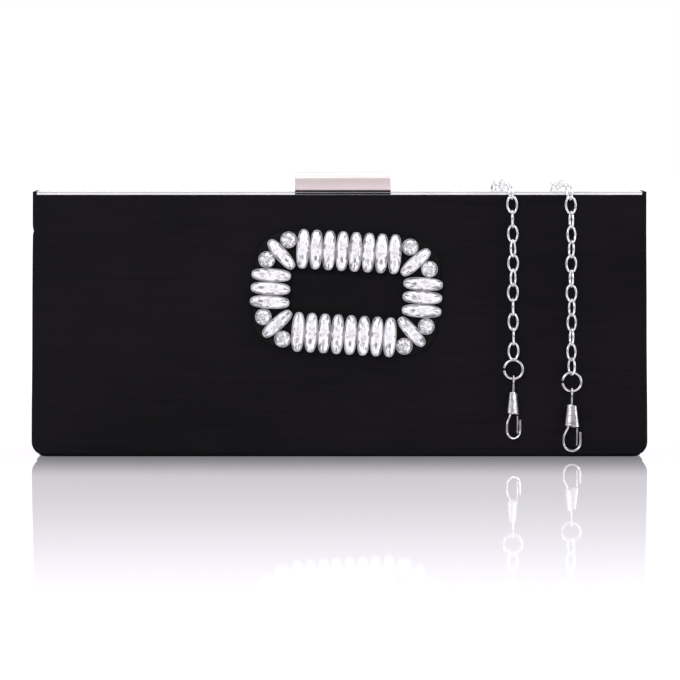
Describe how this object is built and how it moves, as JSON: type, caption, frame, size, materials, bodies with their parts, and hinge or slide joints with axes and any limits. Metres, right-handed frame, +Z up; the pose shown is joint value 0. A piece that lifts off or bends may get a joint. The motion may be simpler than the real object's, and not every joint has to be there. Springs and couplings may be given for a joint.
{
  "type": "evening clutch bag",
  "caption": "Long rectangular satin clutch that opens at the top, with metal rails, a clasp bar, a crystal buckle and a shoulder chain with sprung hooks.",
  "frame": {"origin": "centre of the flat base, on the surface that the bag stands on", "axes": "+X to the right along the width, -Y out of the front face with the buckle, +Z up"},
  "size_m": [0.26, 0.106, 0.1194],
  "materials": {
    "satin": "black satin with a fine crosswise thread",
    "board": "grey pasteboard",
    "lining": "black lining cloth",
    "steel": "polished nickel",
    "clasp": "finely brushed, warm grey",
    "chain": "bright nickel wire",
    "crystal": "clear cut crystal with a foil back"
  },
  "bodies": {
    "rear_half": {"base_board": "board", "base_lining": "lining", "base_satin": "satin", "chain_coil": "chain", "chain_loop_left": "steel", "chain_loop_right": "steel", "chain_rear_left": "chain", "chain_rear_right": "chain", "gusset_left": "satin", "gusset_right": "satin", "hinge_leaf_base": "steel", "hinge_pin": "steel", "rear_board": "board", "rear_clasp_bar": "clasp", "rear_clasp_base": "steel", "rear_clasp_rivet_left": "steel", "rear_clasp_rivet_right": "steel", "rear_lining": "lining", "rear_rail": "steel", "rear_satin": "satin", "slip_pocket": "lining"},
    "front_half": {"chain_front_left": "chain", "chain_front_right": "chain", "crystal_corner_bottom_left": "crystal", "crystal_corner_bottom_right": "crystal", "crystal_corner_top_left": "crystal", "crystal_corner_top_right": "crystal", "crystal_round_bottom_left_inner": "crystal", "crystal_round_bottom_left_outer": "crystal", "crystal_round_bottom_right_inner": "crystal", "crystal_round_bottom_right_outer": "crystal", "crystal_round_top_left_inner": "crystal", "crystal_round_top_left_outer": "crystal", "crystal_round_top_right_inner": "crystal", "crystal_round_top_right_outer": "crystal", "crystals_bottom_row": "crystal", "crystals_left_row": "crystal", "crystals_right_row": "crystal", "crystals_top_row": "crystal", "front_board": "board", "front_clasp_bar": "clasp", "front_clasp_base": "steel", "front_clasp_rivet_left": "steel", "front_clasp_rivet_right": "steel", "front_lining": "lining", "front_rail": "steel", "front_satin": "satin", "hinge_leaf_front": "steel", "jump_ring_left": "chain", "jump_ring_right": "chain", "ornament_plate": "steel"},
    "hook_left": {"hook_wire_left": "chain", "hook_wrap_left": "chain"},
    "gate_left": {"hook_gate_left": "chain"},
    "hook_right": {"hook_wire_right": "chain", "hook_wrap_right": "chain"},
    "gate_right": {"hook_gate_right": "chain"}
  },
  "joints": [
    {"name": "mouth_hinge", "type": "hinge", "parent": "rear_half", "child": "front_half", "pos_m": [0, -0.0183, 0.004], "axis": [1, 0, 0], "range_deg": [0, 20], "deforming": ["gusset_left", "gusset_right"]},
    {"name": "hook_swing_left", "type": "hinge", "parent": "front_half", "child": "hook_left", "pos_m": [0.0733, -0.02127, 0.03309], "axis": [-1, 0, 0], "range_deg": [0, 60]},
    {"name": "hook_swing_right", "type": "hinge", "parent": "front_half", "child": "hook_right", "pos_m": [0.0979, -0.02191, 0.02789], "axis": [-1, 0, 0], "range_deg": [0, 60]},
    {"name": "gate_spring_left", "type": "hinge", "parent": "hook_left", "child": "gate_left", "pos_m": [0.07502, -0.02198, 0.01746], "axis": [-0.5736, 0.813, -0.0999], "range_deg": [0, 20], "stiffness_Nm_per_rad": 0.01, "springref_deg": -5.73},
    {"name": "gate_spring_right", "type": "hinge", "parent": "hook_right", "child": "gate_right", "pos_m": [0.1, -0.02382, 0.01241], "axis": [0, 0.9925, -0.122], "range_deg": [0, 20], "stiffness_Nm_per_rad": 0.01, "springref_deg": -5.73}
  ]
}
